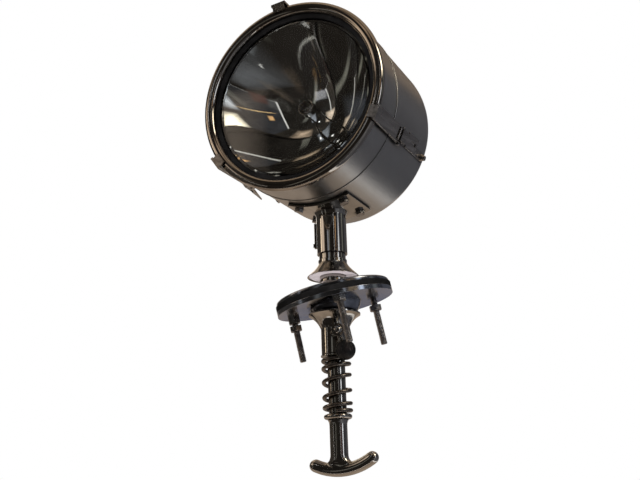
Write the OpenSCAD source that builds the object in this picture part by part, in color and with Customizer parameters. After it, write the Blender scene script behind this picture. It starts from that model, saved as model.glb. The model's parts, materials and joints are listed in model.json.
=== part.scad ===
// Marine searchlight, worked from inside the cabin through a ball mount in the roof.
// Millimetres, +Z up. The origin is on the deck, at the middle of the stud circle.
// The lamp head faces -Y. The stem is drawn leaning in its ball, as it was left.

/* [Head] */
// Outer radius of the lamp drum
drum_r = 110.5; // [100:0.5:120]
// How far the round front bezel stands out past the drum
bezel_overhang = 3.5; // [2.5:0.1:5]
// Radius of the bezel's round section
bezel_section_r = 6.5; // [5.5:0.1:7.5]
// Forward distance of the bezel's widest circle from the stem axis
bezel_forward = 96; // [88:1:106]
// Wall of the drum and of its front shell
drum_wall = 1.5; // [1:0.1:2.5]
// Forward distance of the seam between front shell and rear housing
seam_forward = 48; // [44:1:54]
// Distance of the drum's back from the stem axis
drum_back = 70; // [60:1:80]
// Radius of the drum's rear edge
drum_edge_r = 20; // [12:1:26]
// Thickness of the gasket in the seam
seam_gasket_t = 1; // [0.6:0.1:2]
// Height of the lamp axis above the ball's centre
head_z = 217; // [208:1:235]

/* [Lamp] */
// How far the sealed lamp's rim lies inside the drum
lamp_inset = 8.5; // [8:0.1:11]
// Thickness of the lamp's glass
glass_t = 2.5; // [2:0.1:3.5]
// Height of the front glass's crown
lens_crown = 6; // [3:0.5:8]
// Depth of the parabolic mirror
mirror_depth = 74; // [60:1:78]
// Radius of the filament's shield cap
shield_r = 13; // [10:0.5:18]
// Distance between the two filament posts
post_spacing = 18; // [12:1:20]
// Radius of a filament post
post_r = 1; // [0.8:0.1:1.4]

/* [Latches] */
// Angle of the first latch from straight up, clockwise from the front
latch_angle = -5; // [-30:1:30]
// Distance of the lever's pivot pin behind the seam
latch_set_back = 10; // [9:0.5:18]
// Height of the lever's pivot pin over the drum
latch_pin_h = 5.5; // [5:0.1:7]
// Radius of the lever's pivot pin
latch_pin_r = 1.5; // [1.2:0.1:1.8]
// Width of the lever between the link's arms
lever_w = 13.8; // [12:0.2:18]
// Length of the lever behind its pin
lever_len = 40; // [30:1:46]
// Sheet that the levers and links are bent from
latch_sheet = 1.8; // [1.4:0.1:2]

/* [Saddle] */
// Thickness of the saddle plate under the drum
saddle_t = 3.5; // [2.5:0.1:5]
// Half of the saddle's wrap round the drum, in degrees
saddle_half_angle = 20; // [18:1:26]
// Length of the saddle along the drum
saddle_len = 64; // [60:1:72]
// Forward distance of the saddle's middle
saddle_forward = 3; // [0:1:6]
// Spacing of the saddle bolts along the drum
bolt_pitch = 46; // [42:1:50]
// Half of the angle between the left and right saddle bolts
bolt_half_angle = 14.5; // [13:0.5:15.5]
// Shank radius of the saddle bolts
bolt_r = 3; // [2.5:0.1:3.5]
// Width across flats of the bolt heads
bolt_af = 10; // [9:0.5:11]

/* [Stem] */
// Outer radius of the stem tube
stem_r = 15.5; // [14.5:0.1:16]
// Inner radius of the stem tube
stem_bore = 12.5; // [11.5:0.1:13]
// Outer radius of the saddle's socket sleeve
sleeve_r = 17.7; // [17:0.1:19]
// Height of the sleeve's lower end above the ball's centre
sleeve_z = 52.6; // [48:0.2:58]
// Height of the rain skirt's upper end
skirt_top = 41; // [38:0.5:44]
// Height of the rain skirt's rim
skirt_rim_z = 25.5; // [24:0.5:28]
// Radius of the rain skirt's rim
skirt_rim_r = 30; // [26:0.5:31]
// Sheet of the rain skirt
skirt_t = 1.2; // [0.8:0.1:1.6]

/* [Ball mount] */
// Radius of the ball
ball_r = 24; // [23:0.1:24.2]
// Thickness of the friction liner round the ball
liner_t = 1.4; // [1:0.1:1.6]
// Half of the liner's height
liner_half_h = 6.5; // [5:0.1:7]
// Outer radius of the cup under the clamp flange
cup_r = 31; // [30:0.2:32]
// Radius of the opening in the bottom of the cup
cup_opening_r = 20; // [19.5:0.1:21]
// Radius of the deck flange
deck_flange_r = 66; // [62:0.5:70]
// Radius of the gasket and of the clamp flange
clamp_flange_r = 67.5; // [64:0.5:72]
// Thickness of each flange
flange_t = 5; // [4:0.1:6]
// Thickness of the deck gasket
gasket_t = 6.5; // [5:0.1:7]
// Radius of the bell's rim
bell_rim_r = 29.7; // [29:0.1:31]
// Depth of the bell's rim under the ball's centre
bell_rim_z = 20; // [19.6:0.1:21]
// Radius of the bell's sleeve
bell_sleeve_r = 16; // [14:0.1:17]
// Depth of the bell's neck under the ball's centre
bell_neck_z = 36; // [34:0.5:38]
// Depth of the bell's lower end under the ball's centre
bell_end_z = 66; // [62:0.5:68]

/* [Studs] */
// Diameter of the stud circle
stud_pcd = 112; // [104:0.5:114]
// Radius of the studs' free thread
stud_r = 4; // [3.5:0.1:4.5]
// Direction of the first stud, from the front towards the right
stud_angle = 28; // [10:1:40]
// Length of a stud under the clamp flange
stud_len = 52; // [46:1:58]
// Width across flats of the nuts
nut_af = 13; // [12:0.5:14]
// Height of a nut
nut_h = 6.5; // [5:0.1:8]
// Slack under the nut on the second stud, which isn't drawn up
loose_nut_drop = 5; // [0:0.5:8]
// Gap between the two nuts on the third stud
jam_nut_gap = 2.5; // [0.5:0.5:5]

/* [Handle] */
// Radius of the spindle
spindle_r = 10; // [9:0.1:10.4]
// Radius of the spindle's bore for the lamp wires
spindle_bore = 6; // [4:0.1:7]
// Outer radius of the spring
spring_r = 17; // [16:0.1:18.5]
// Radius of the spring's wire
spring_wire_r = 2.25; // [1.5:0.05:2.6]
// Turns of the spring
spring_turns = 5.2; // [4:0.1:6.5]
// Depth of the spring's lower end under the ball's centre
spring_end_z = 131.5; // [122:0.5:140]
// Radius of the collar under the spring
collar_r = 15.8; // [15:0.1:18]
// Thickness of the collar
collar_t = 5.6; // [4:0.2:8]
// Length of the handle's shank under the collar
shank_len = 47.4; // [36:0.2:60]
// Radius of the cross bar
bar_r = 7.2; // [6:0.1:8.5]
// Radius of the cross bar's bend
bar_bend = 72; // [60:1:110]
// Reach of the cross bar's left arm
bar_left = 30; // [24:1:42]
// Reach of the cross bar's right arm
bar_right = 41; // [34:1:52]

/* [Lock] */
// Direction of the lock lever, from the front towards the right
lock_angle = 30; // [28:1:60]
// Depth of the lock screw under the ball's centre
lock_z = 43; // [42.5:0.5:45]
// Length of the lock lever's arm, from the screw to the knob
lock_arm_len = 23.5; // [20:0.5:26]
// Swing of the lock lever towards the right at rest, in degrees
lock_swing = 20; // [0:1:30]
// Radius of the black knob
knob_r = 11.3; // [9:0.1:11.6]

/* [Pose] */
// Lean of the stem towards the back at rest, in degrees
lean_back = 7; // [0:0.5:9]
// Lean of the stem towards the right at rest, in degrees
lean_side = 9; // [0:0.5:10]

/* [Hidden] */
// Gap of a shaft in its bore
run_gap = 0.05;
// Gap between pieces that slide or swing past each other
clear = 0.3;
// Gap between pieces that are fitted into each other and stay
seat_gap = 0.1;
// A small length that carries cuts past a face
over = 1;
// Smoothness of the small faceted shapes
ring_steps = 16;
wire_sides = 8;

// Heights over the deck
pivot_z = gasket_t / 2;
// Head radii and the latch pin's place
bezel_r = drum_r + bezel_overhang;
lamp_r = drum_r - lamp_inset;
latch_pin_forward = seam_forward - latch_set_back;
// Ball, liner and seats
liner_in = ball_r + clear;
liner_out = liner_in + liner_t;
seat_r = liner_out + clear;
ball_flat_z = sqrt(ball_r * ball_r - stem_r * stem_r);
bell_in = cup_r + clear;
spindle_hole = spindle_r + run_gap;
// Lamp places along the head axis, forward of the stem
bezel_ring_r = bezel_r - bezel_section_r;
bezel_opening_r = bezel_ring_r - bezel_section_r;
lip_back = bezel_forward - 2;
lens_gasket_t = 2;
lens_front = lip_back - lens_gasket_t;
lens_rim_t = 3.5;
mirror_front = lens_front - lens_rim_t;
mirror_rim_t = 3;
mirror_edge_r = lamp_r - 7;
mirror_apex = mirror_front - mirror_depth;
mirror_focus = mirror_edge_r * mirror_edge_r / (4 * mirror_depth);
retainer_t = 2.5;
retainer_front = mirror_front - mirror_rim_t;
spigot_in = max(lamp_r + 2.5, bezel_opening_r + 2);
spigot_out = drum_r - drum_wall - clear;
spigot_back = retainer_front - retainer_t - 1;
shell_front = bezel_forward - bezel_section_r - seat_gap;
// Latch places, forward and out from the head axis
latch_count = 3;
latch_pin_out = drum_r + latch_pin_h;
latch_plate_t = 1.2;
latch_plate_w = 12;
lug_w = 8;
eye_r = 2.5;
link_back = 8;
link_drop = 1;
link_pin_r = 1.3;
link_pin_forward = latch_pin_forward - link_back;
link_pin_out = latch_pin_out - link_drop;
cheek_in = lug_w / 2 + clear;
arm_in = lever_w / 2 + clear;
arm_out = arm_in + latch_sheet;
lip_forward = bezel_forward + bezel_section_r + clear;
arm_front_out = bezel_r + clear + 1.7;
// Studs and nuts
stud_waist_r = stud_r - 0.1;
stud_hole_r = stud_r + 0.4;
nut_top = -flange_t;
stud_end = -flange_t - stud_len;
nut_drops = [[0], [loose_nut_drop], [0, nut_h + jam_nut_gap]];
thread_top = nut_top - 2 * nut_h - jam_nut_gap - over;
// Spring and handle depths
washer_t = 1.5;
spring_top_z = bell_end_z + seat_gap + washer_t;
collar_top_z = spring_end_z + seat_gap;
spindle_end_z = collar_top_z + collar_t;
bar_z = spindle_end_z + shank_len + bar_r;
deg = 180 / PI;
// Lock screw, hub and arm
lock_boss_r = 6.4;
lock_boss_end = bell_sleeve_r + 9.5;
lock_screw_r = 3;
lock_screw_in = spindle_r + 2;
lock_hub_r = 7.2;
lock_hub_in = lock_boss_end + clear;
lock_hub_out = lock_hub_in + 8;
lock_arm_out = (lock_hub_in + lock_hub_out) / 2;
knob_flat = 1;
// Stem, wire way and the rear dome
stem_top_z = head_z - drum_r - saddle_t - 2;
plug_top_z = ball_flat_z + 28;
wire_hole_r = 8;
bolt_nut_h = 5;
drum_dome = 3;
// The cross bar's ball ends stand out a little
bar_end_lip = 0.3;
// Filament shield, just ahead of the mirror's focus
focus_z = mirror_apex + mirror_focus;
shield_back = focus_z + 5;
shield_front = shield_back + 9;
shield_t = 1.2;
// Ceramic base behind the mirror
lamp_base_r = 19;
lamp_base_h = 9;
lamp_base_back = mirror_apex - glass_t - lamp_base_h;

// Places

// The ball's centre
module at_ball() {
    translate([0, 0, pivot_z]) children();
}

// The leaning stem, with its axis along Z from the ball's centre
module on_stem() {
    at_ball() rotate([-lean_back, 0, 0]) rotate([0, lean_side, 0]) children();
}

// The lamp axis, with Z forward and Y up
module on_head() {
    on_stem() translate([0, 0, head_z]) rotate([90, 0, 0]) children();
}

// One latch, with Z forward and Y out from the drum
module at_latch(i) {
    on_head() rotate(-latch_angle - i * 360 / latch_count) children();
}

// One of the three stud places round the deck flange
module at_stud(i) {
    rotate(stud_angle - 90 + i * 120) translate([stud_pcd / 2, 0, 0]) children();
}

module at_studs() {
    for (i = [0 : 2]) at_stud(i) children();
}

// The lock screw, with X along it away from the stem and Z along the lever's arm
module on_lock() {
    on_stem() rotate(lock_angle - 90) translate([0, 0, -lock_z]) rotate([lock_swing, 0, 0]) children();
}

// Each of the four saddle bolts, with Y out from the drum
module at_saddle_bolts() {
    for (side = [-1, 1], end = [-1, 1]) {
        rotate(180 + side * bolt_half_angle)
            translate([0, drum_r, saddle_forward + end * bolt_pitch / 2])
                rotate([-90, 0, 0]) children();
    }
}

// Shapes

// A tube along Z
module tube(r_out, r_in, z0, z1) {
    translate([0, 0, z0]) difference() {
        cylinder(r = r_out, h = z1 - z0, $fn = 96);
        translate([0, 0, -over]) cylinder(r = r_in, h = z1 - z0 + 2 * over, $fn = 96);
    }
}

// A rod along Z
module rod(r, z0, z1) {
    translate([0, 0, z0]) cylinder(r = r, h = z1 - z0, $fn = 48);
}

// A rod along X, as for a hinge pin
module cross_rod(r, x0, x1) {
    translate([x0, 0, 0]) rotate([0, 90, 0]) cylinder(r = r, h = x1 - x0, $fn = 48);
}

// A hexagon of the given width across flats
module hexagon(af, h) {
    cylinder(r = af / sqrt(3), h = h, $fn = 6);
}

// A sheet profile, given as forward and out, spread along X
module spread(x0, x1) {
    translate([x1, 0, 0]) rotate([0, -90, 0]) linear_extrude(x1 - x0) children();
}

// A stretch of a hollow drum round the head axis
module drum_arc(r_in, r_out, z0, z1, half_angle) {
    rotate(90 - half_angle) rotate_extrude(angle = 2 * half_angle, $fn = 96)
        translate([r_in, z0]) square([r_out - r_in, z1 - z0]);
}

// Base, which stays on the deck

// Its upper edge is rounded.
module deck_flange() {
    edge_r = 2.5;
    steps = 6;
    top = gasket_t + flange_t;
    edge = [
        for (i = [0 : steps])
            let (a = 90 * i / steps)
            [deck_flange_r - edge_r + edge_r * cos(a), top - edge_r + edge_r * sin(a)]
    ];
    color("lightslategray") difference() {
        rotate_extrude($fn = 96)
            polygon(concat([[0, gasket_t], [deck_flange_r, gasket_t]], edge, [[0, top]]));
        at_ball() sphere(r = seat_r, $fn = 96);
        at_studs() translate([0, 0, gasket_t - over]) cylinder(r = stud_waist_r, h = flange_t, $fn = 48);
    }
}

module deck_gasket() {
    color("black") difference() {
        cylinder(r = clamp_flange_r, h = gasket_t, $fn = 96);
        translate([0, 0, -over]) cylinder(r = cup_r, h = gasket_t + 2 * over, $fn = 96);
        at_studs() translate([0, 0, -over]) cylinder(r = stud_hole_r, h = gasket_t + 2 * over, $fn = 48);
    }
}

module clamp_flange() {
    cup_end = sqrt(cup_r * cup_r - cup_opening_r * cup_opening_r);
    color("slategray") difference() {
        union() {
            translate([0, 0, -flange_t]) cylinder(r = clamp_flange_r, h = flange_t, $fn = 96);
            intersection() {
                at_ball() sphere(r = cup_r, $fn = 96);
                translate([0, 0, pivot_z - cup_end]) cylinder(r = cup_r, h = cup_end - pivot_z, $fn = 96);
            }
        }
        at_ball() sphere(r = seat_r, $fn = 96);
        translate([0, 0, -cup_r]) cylinder(r = cup_opening_r, h = cup_r, $fn = 96);
        at_studs() translate([0, 0, -flange_t - over])
            cylinder(r = stud_hole_r, h = flange_t + 2 * over, $fn = 48);
    }
}

// The free thread is a hair wider than the waist that the nuts are drawn on.
module deck_studs() {
    tip = 1.5;
    color("dimgray") at_studs() {
        rod(stud_waist_r, thread_top, gasket_t + flange_t - over);
        rod(stud_r, stud_end + tip, thread_top);
        translate([0, 0, stud_end]) cylinder(r1 = stud_r - tip / 2, r2 = stud_r, h = tip, $fn = 48);
    }
}

// A nut under the flange on each stud, and a second one on the left stud
module stud_nuts() {
    color("silver") for (i = [0 : 2]) at_stud(i)
        for (drop = nut_drops[i]) stud_nut(nut_top - drop);
}

module stud_nut(z_top) {
    chamfer = 1;
    translate([0, 0, z_top - nut_h]) difference() {
        intersection() {
            hexagon(nut_af, nut_h);
            union() {
                cylinder(r1 = nut_af / 2, r2 = nut_af / sqrt(3) + 0.1, h = chamfer, $fn = 48);
                translate([0, 0, chamfer]) cylinder(r = nut_af, h = nut_h - chamfer, $fn = 48);
            }
        }
        translate([0, 0, -over]) cylinder(r = stud_waist_r, h = nut_h + 2 * over, $fn = 48);
    }
}

// Ball and bell

module ball_liner() {
    color("dimgray") at_ball() rotate([-lean_back, 0, 0]) difference() {
        intersection() {
            sphere(r = liner_out, $fn = 96);
            translate([0, 0, -liner_half_h]) cylinder(r = liner_out + over, h = 2 * liner_half_h, $fn = 96);
        }
        sphere(r = liner_in, $fn = 96);
    }
}

module ball() {
    color("silver") on_stem() difference() {
        intersection() {
            sphere(r = ball_r, $fn = 96);
            translate([0, 0, -ball_flat_z]) cylinder(r = ball_r + over, h = 2 * ball_flat_z, $fn = 96);
        }
        translate([0, 0, -ball_r]) cylinder(r = spindle_hole, h = 2 * ball_r, $fn = 96);
    }
}

// The lower cup that slides on the clamp flange, with a boss for the lock screw
module bell() {
    rim_top = bell_rim_z - 1.6;
    waist = 2;
    steps = 10;
    drop = bell_neck_z - bell_rim_z;
    flare = [
        for (i = [0 : steps])
            let (s = i / steps, bow = waist * 4 * s * (1 - s))
            [bell_rim_r - (bell_rim_r - bell_sleeve_r) * s - bow * 0.74, -bell_rim_z - drop * s + bow * 0.67]
    ];
    seat_low = acos(spindle_hole / bell_in);
    seat_high = asin(rim_top / bell_in);
    seat = [
        for (i = [0 : steps])
            let (a = seat_low + (seat_high - seat_low) * i / steps)
            [bell_in * cos(a), -bell_in * sin(a)]
    ];
    foot = [
        [bell_sleeve_r, 1 - bell_end_z],
        [bell_sleeve_r - 1, -bell_end_z],
        [spindle_hole, -bell_end_z],
    ];
    color("silver") on_stem() difference() {
        union() {
            rotate_extrude($fn = 96) polygon(concat([[bell_rim_r, -rim_top]], flare, foot, seat));
            rotate(lock_angle - 90) translate([0, 0, -lock_z])
                cross_rod(lock_boss_r, (spindle_hole + bell_sleeve_r) / 2, lock_boss_end);
        }
        rotate(lock_angle - 90) translate([0, 0, -lock_z])
            cross_rod(lock_screw_r + run_gap, 0, lock_boss_end + over);
    }
}

// Hub with its screw, and the arm that drops to the knob
module lock_lever() {
    arm_r = 3.2;
    dome_r = 5;
    dome_sink = 2.6;
    color("silver") on_lock() {
        cross_rod(lock_hub_r, lock_hub_in, lock_hub_out);
        cross_rod(lock_screw_r, lock_screw_in, lock_hub_in + over);
        translate([lock_arm_out, 0, 0]) rod(arm_r, knob_r - knob_flat + seat_gap - lock_arm_len, 0);
        translate([lock_hub_out - dome_sink, 0, 0]) sphere(r = dome_r, $fn = 48);
    }
}

// A moulded ball knob with shallow finger flutes
module lock_knob() {
    flutes = 8;
    flute_r = 3;
    flute_depth = 1;
    color("black") on_lock() translate([lock_arm_out, 0, -lock_arm_len]) difference() {
        sphere(r = knob_r, $fn = 64);
        translate([0, 0, knob_r - knob_flat]) cylinder(r = knob_r, h = knob_r, $fn = 48);
        for (i = [0 : flutes - 1]) rotate((i + 0.5) * 360 / flutes)
            translate([knob_r + flute_r - flute_depth, 0, -knob_r])
                cylinder(r = flute_r, h = 2 * knob_r, $fn = 32);
    }
}

// Spring between the bell and the handle's collar

module spring_washer() {
    color("silver") on_stem()
        tube(spring_r, spindle_hole + 0.2, -bell_end_z - seat_gap - washer_t, -bell_end_z - seat_gap);
}

// The wire's height along the coil: the end turns lie closer than the middle ones.
function coil_z(u) = let (soft = u - sin(360 * u) / (2 * 180 / PI) * 0.55)
    -spring_top_z - spring_wire_r - seat_gap
    - soft * (spring_end_z - spring_top_z - 2 * spring_wire_r - 2 * seat_gap);

module spring() {
    coil_r = spring_r - spring_wire_r;
    rings = floor(spring_turns * ring_steps);
    points = [
        for (i = [0 : rings], k = [0 : wire_sides - 1])
            let (u = i / rings, a = u * spring_turns * 360, b = k * 360 / wire_sides,
                r = coil_r + spring_wire_r * cos(b))
            [r * cos(a), -r * sin(a), coil_z(u) + spring_wire_r * sin(b)]
    ];
    sides = [
        for (i = [0 : rings - 1], k = [0 : wire_sides - 1])
            let (n = (k + 1) % wire_sides)
            [i * wire_sides + k, (i + 1) * wire_sides + k, (i + 1) * wire_sides + n, i * wire_sides + n]
    ];
    ends = [
        [for (k = [0 : wire_sides - 1]) k],
        [for (k = [wire_sides - 1 : -1 : 0]) rings * wire_sides + k],
    ];
    color("gray") on_stem() polyhedron(points, concat(sides, ends));
}

// Stem

module stem_tube() {
    color("silver") on_stem() tube(stem_r, stem_bore, ball_flat_z + seat_gap, stem_top_z);
}

// The plug at its top is pinned in the stem tube, and the rod runs down to the handle.
module spindle() {
    color("silver") on_stem() difference() {
        union() {
            rod(stem_bore - run_gap, ball_flat_z + seat_gap, plug_top_z);
            rod(spindle_r, -spindle_end_z, plug_top_z);
        }
        rod(spindle_bore, -spindle_end_z - over, plug_top_z + over);
    }
}

// A thin umbrella over the ball, open underneath
module rain_skirt() {
    neck_h = 4;
    steps = 8;
    r0 = stem_r + run_gap;
    drop = skirt_top - skirt_rim_z;
    curve = [
        for (i = [0 : steps])
            let (s = i / steps)
            [r0 + (skirt_rim_r - skirt_t - r0) * pow(s, 1.35), skirt_top - drop * s]
    ];
    outside = [for (i = [steps : -1 : 0]) [curve[i].x + skirt_t, curve[i].y + (i == steps ? 0 : 0.5)]];
    color("silver") on_stem() rotate_extrude($fn = 96)
        polygon(concat([[r0, skirt_top + neck_h]], curve, outside, [[r0 + skirt_t, skirt_top + neck_h]]));
}

// The plate that the drum is bolted to, and the sleeve that sits on the stem
module saddle() {
    foot_h = 4;
    foot_flare = 2;
    back = saddle_forward - saddle_len / 2;
    color("silver") difference() {
        union() {
            on_head() rotate(180)
                drum_arc(drum_r, drum_r + saddle_t, back, back + saddle_len, saddle_half_angle);
            on_stem() {
                rod(sleeve_r, sleeve_z, head_z - drum_r + over);
                translate([0, 0, head_z - drum_r - saddle_t - foot_h])
                    cylinder(r1 = sleeve_r, r2 = sleeve_r + foot_flare, h = foot_h + saddle_t / 2, $fn = 96);
            }
        }
        on_head() translate([0, 0, -drum_back]) cylinder(r = drum_r, h = 2 * drum_back, $fn = 96);
        on_stem() {
            translate([0, 0, sleeve_z - over])
                cylinder(r = stem_r + seat_gap, h = stem_top_z - sleeve_z + over + seat_gap, $fn = 96);
            translate([0, 0, sleeve_z]) cylinder(r = wire_hole_r, h = head_z, $fn = 48);
        }
        on_head() at_saddle_bolts() rod(bolt_r, -over, saddle_t + 2 * over);
    }
}

// Hexagon bolts through saddle and drum, each with its nut inside the drum
module saddle_bolts() {
    head_h = 4;
    color("dimgray") on_head() at_saddle_bolts() {
        rod(bolt_r - run_gap, -drum_wall - bolt_nut_h - 2, saddle_t + over);
        translate([0, 0, saddle_t + seat_gap]) hexagon(bolt_af, head_h);
        translate([0, 0, -drum_wall - bolt_nut_h - 3 * seat_gap]) hexagon(bolt_af, bolt_nut_h);
    }
}

// The narrow strip that keys the sleeve, with the screw at its lower end
module sleeve_strip() {
    strip_w = 4;
    strip_t = 2.6;
    strip_h = 30;
    screw_r = 2.4;
    strip_angle = 205;
    color("silver") on_stem() rotate(strip_angle) translate([sleeve_r + seat_gap, 0, sleeve_z + 8]) {
        translate([0, -strip_w / 2, 0]) cube([strip_t, strip_w, strip_h]);
        translate([0, 0, screw_r + 1]) cross_rod(screw_r, 0, strip_t + 1.4);
    }
}

// Drum

// Half of the drum's outline, from the axis round the rear edge to a front rim
module drum_outline(inset, front) {
    r = drum_r - inset;
    edge = drum_edge_r - inset;
    back = inset - drum_back;
    steps = 12;
    corner = [
        for (i = [0 : steps])
            let (a = 90 * i / steps - 90)
            [r - edge + edge * cos(a), back + edge + edge * sin(a)]
    ];
    flat_r = r - edge;
    dome = [for (s = [0, 0.35, 0.7]) [flat_r * s, back - drum_dome * (1 - s * s)]];
    polygon(concat(dome, corner, [[r, front], [0, front]]));
}

module rear_housing() {
    rim = seam_forward - seam_gasket_t / 2;
    color("silver") difference() {
        on_head() rotate_extrude($fn = 96) drum_outline(0, rim);
        on_head() rotate_extrude($fn = 96) drum_outline(drum_wall, rim + over);
        on_head() at_saddle_bolts()
            translate([0, 0, -drum_wall - over]) cylinder(r = bolt_r, h = drum_wall + 2 * over, $fn = 48);
        on_stem() translate([0, 0, head_z - drum_r - over])
            cylinder(r = wire_hole_r, h = drum_wall + 8, $fn = 48);
    }
}

module seam_gasket() {
    color("black") on_head()
        translate([0, 0, seam_forward - seam_gasket_t / 2])
            tube(drum_r - 2 * seat_gap, drum_r - drum_wall - over, 0, seam_gasket_t);
}

// The front shell's rear edge is rolled outward into a small bead.
module front_shell() {
    bead_r = 0.9;
    back = seam_forward + seam_gasket_t / 2;
    color("rosybrown") on_head() rotate_extrude($fn = 96) union() {
        translate([drum_r - drum_wall, back]) square([drum_wall, shell_front - back]);
        translate([drum_r, back + bead_r]) circle(r = bead_r, $fn = 32);
    }
}

// The round ring at the front, with the spigot that enters the front shell
module bezel() {
    color("gray") on_head() rotate_extrude($fn = 96) difference() {
        union() {
            translate([bezel_ring_r, bezel_forward]) circle(r = bezel_section_r, $fn = 96);
            translate([spigot_in, spigot_back]) square([spigot_out - spigot_in, bezel_forward - spigot_back]);
        }
        translate([0, spigot_back - over]) square([spigot_in, lip_back - spigot_back + over]);
    }
}

// Lamp

module lens_gasket() {
    gasket_in = bezel_opening_r - 5;
    color("black") on_head() tube(spigot_in - seat_gap, gasket_in, lens_front, lip_back);
}

// The front glass: a flat rim and a shallow crown
module lamp_lens() {
    rim_in = bezel_opening_r - 6;
    hollow_r = rim_in - 2 + over;
    ball = (rim_in * rim_in + lens_crown * lens_crown) / (2 * lens_crown);
    color("azure") on_head() rotate_extrude($fn = 96) difference() {
        union() {
            translate([0, mirror_front]) square([lamp_r, lens_rim_t]);
            intersection() {
                translate([0, lens_front + lens_crown - ball]) circle(r = ball, $fn = 180);
                translate([0, lens_front - over]) square([rim_in, lens_crown + over]);
            }
        }
        intersection() {
            translate([0, lens_front + lens_crown - ball - glass_t]) circle(r = ball, $fn = 180);
            translate([-over, mirror_front - over]) square([hollow_r, lens_crown + lens_rim_t + over]);
        }
        translate([-over, mirror_front - over]) square([hollow_r, over + lens_rim_t - glass_t]);
        translate([-2 * ball, -ball]) square([2 * ball, 4 * ball]);
    }
}

function mirror_z(r) = mirror_apex + r * r / (4 * mirror_focus);

module lamp_mirror() {
    steps = 20;
    inside = [for (i = [0 : steps]) let (r = mirror_edge_r * i / steps) [r, mirror_z(r)]];
    outside = [for (i = [steps : -1 : 0]) let (p = inside[i]) [p.x, p.y - glass_t - (i == steps ? 2 : 0)]];
    rim = [
        [lamp_r, mirror_front],
        [lamp_r, retainer_front],
        [mirror_edge_r + 2, retainer_front],
    ];
    color("lightgray") on_head() rotate_extrude($fn = 96) polygon(concat(inside, rim, outside));
}

// The ring that holds the lamp's rim against its gasket
module lamp_retainer() {
    color("silver") on_head()
        tube(spigot_in - seat_gap, lamp_r - 3, retainer_front - retainer_t, retainer_front - seat_gap);
}

module at_posts() {
    for (side = [-1, 1]) translate([side * post_spacing / 2, 0, 0]) children();
}

module filament_posts() {
    foot = mirror_z(post_spacing / 2) + seat_gap;
    color("dimgray") on_head() at_posts() rod(post_r, foot, shield_front - shield_t - seat_gap);
}

// The coiled filament across the focus
module filament() {
    reach = post_spacing / 2 - post_r - seat_gap;
    color("gray") on_head() translate([0, 0, focus_z]) cross_rod(1.6, -reach, reach);
}

// The cap that hides the filament from the front
module filament_shield() {
    color("gray") on_head() difference() {
        rod(shield_r, shield_back, shield_front);
        rod(shield_r - shield_t, shield_back - over, shield_front - shield_t);
    }
}

module lamp_base() {
    color("ivory") on_head() rod(lamp_base_r, lamp_base_back, mirror_apex - glass_t - seat_gap);
}

// A flat head and a threaded stud on each terminal
module lamp_terminals() {
    head_r = 5;
    head_t = 3;
    thread_r = 2;
    thread_len = 6;
    front = lamp_base_back - seat_gap;
    color("goldenrod") on_head() for (side = [-1, 1]) translate([side * lamp_base_r / 2, 0, 0]) {
        rod(head_r, front - head_t, front);
        rod(thread_r, front - head_t - thread_len, front - head_t);
    }
}

// Latches

// The plate on the drum with its pivot lug, and the tail that ends in a round boss
module latch_bases() {
    plate_back = latch_pin_forward - 12;
    plate_front = latch_pin_forward + 8;
    tail_back = drum_edge_r - drum_back;
    tail_w = 10;
    boss_r = 4.5;
    boss_h = 6;
    foot = drum_r + latch_plate_t / 2;
    lug_foot = eye_r + 0.6;
    lug_top = eye_r * 0.96;
    tail_step = 0.15;
    color("silver") for (i = [0 : latch_count - 1]) at_latch(i) difference() {
        union() {
            drum_arc(drum_r, drum_r + latch_plate_t, plate_back, plate_front,
                latch_plate_w / 2 / drum_r * deg);
            drum_arc(drum_r + tail_step, drum_r + latch_plate_t - tail_step, tail_back, plate_back + over,
                tail_w / 2 / drum_r * deg);
            spread(-lug_w / 2, lug_w / 2) union() {
                translate([latch_pin_forward, latch_pin_out]) circle(r = eye_r, $fn = 48);
                polygon([
                    [latch_pin_forward - lug_foot, foot],
                    [latch_pin_forward + lug_foot, foot],
                    [latch_pin_forward + lug_top, latch_pin_out],
                    [latch_pin_forward - lug_top, latch_pin_out],
                ]);
            }
            translate([0, foot, tail_back + boss_r + over]) rotate([-90, 0, 0])
                cylinder(r1 = boss_r, r2 = boss_r - 1.5, h = boss_h, $fn = 48);
        }
        translate([0, latch_pin_out, latch_pin_forward]) cross_rod(latch_pin_r, -lug_w, lug_w);
    }
}

module latch_pins() {
    color("dimgray") for (i = [0 : latch_count - 1]) at_latch(i)
        translate([0, latch_pin_out, latch_pin_forward])
            cross_rod(latch_pin_r, -lever_w / 2, lever_w / 2);
}

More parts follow.
